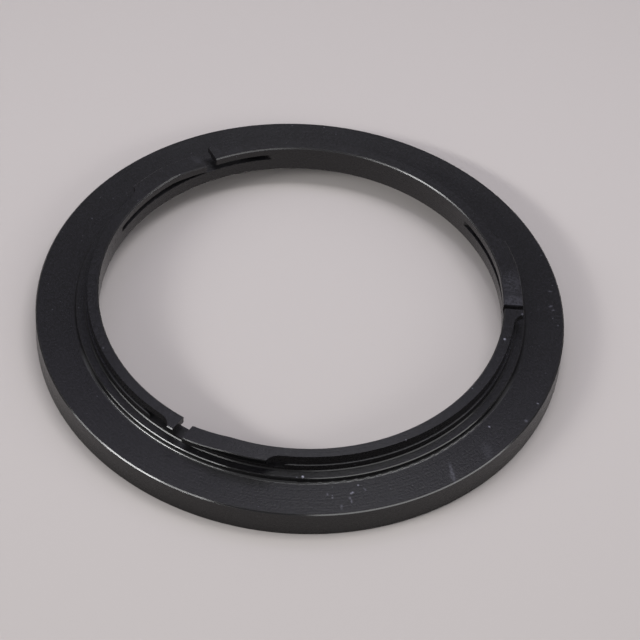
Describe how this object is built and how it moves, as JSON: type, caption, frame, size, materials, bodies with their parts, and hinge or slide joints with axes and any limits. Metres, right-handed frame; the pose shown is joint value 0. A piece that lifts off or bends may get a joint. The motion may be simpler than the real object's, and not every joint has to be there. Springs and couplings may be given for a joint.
{
  "type": "step-up ring",
  "caption": "Flat black metal ring that steps a lens bayonet up to a wider filter thread, with sprung lugs on a raised collar round the light opening.",
  "frame": {"origin": "on the ring's axis, in the plane of the rim's bottom face", "axes": "+Z along the axis, from the filter thread towards the bayonet; +X through the middle of one notch"},
  "size_m": [0.0702, 0.0702, 0.0071],
  "materials": {
    "black_anodised": "black anodised, satin"
  },
  "bodies": {
    "root": {"step_up_ring": "black_anodised"}
  },
  "joints": []
}
